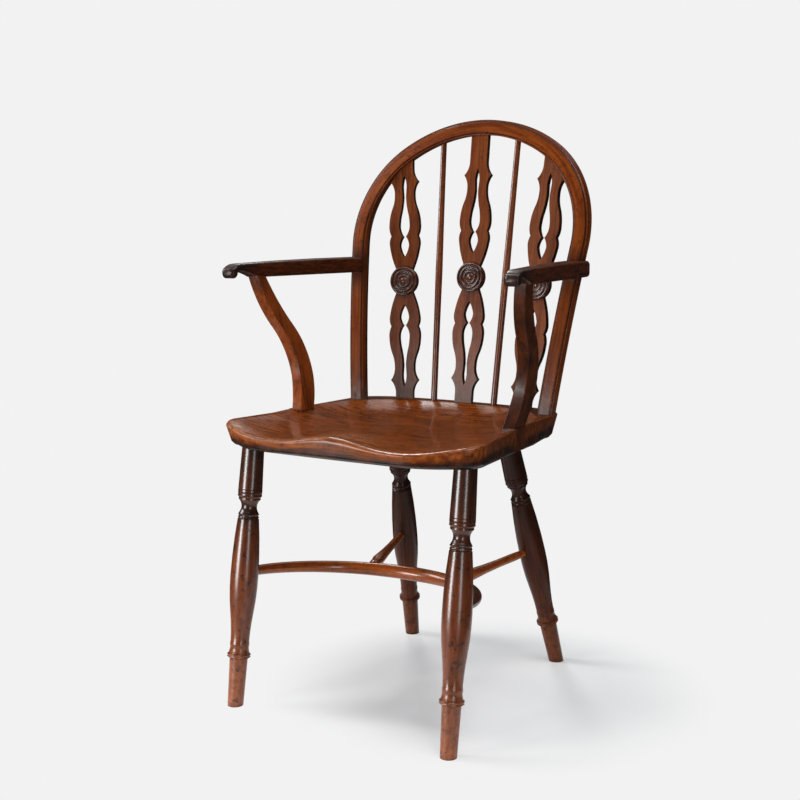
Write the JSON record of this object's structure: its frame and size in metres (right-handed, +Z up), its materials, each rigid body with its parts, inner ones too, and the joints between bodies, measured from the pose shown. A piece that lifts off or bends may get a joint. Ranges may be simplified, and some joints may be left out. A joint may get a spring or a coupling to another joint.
{
  "type": "windsor armchair",
  "caption": "Windsor armchair with a bent bow back, pierced splats with turned roundels, scrolled arms, a saddle seat, turned legs and a hooped stretcher.",
  "frame": {"origin": "on the floor, under the middle of the chair's bounding box", "axes": "+Z up, the sitter faces -Y, +X is the viewer's right when looking at the chair's front"},
  "size_m": [0.5166, 0.4847, 0.9119],
  "materials": {
    "elm": "worn waxed elm, satin to glossy",
    "yew": "polished reddish-brown yew",
    "dark_turned": "dark polished wood",
    "leg_wood": "dark reddish turned wood, glossy"
  },
  "bodies": {
    "root": {"seat": "elm", "bow": "yew", "splat_left": "yew", "splat_centre": "yew", "splat_right": "yew", "roundel_left": "dark_turned", "roundel_centre": "dark_turned", "roundel_right": "dark_turned", "spindle_left": "yew", "spindle_right": "yew", "arm_left": "dark_turned", "arm_right": "dark_turned", "support_left": "dark_turned", "support_right": "dark_turned", "leg_front_left": "leg_wood", "leg_front_right": "leg_wood", "leg_rear_left": "leg_wood", "leg_rear_right": "leg_wood", "hoop": "yew", "spur_left": "yew", "spur_right": "yew"}
  },
  "joints": []
}
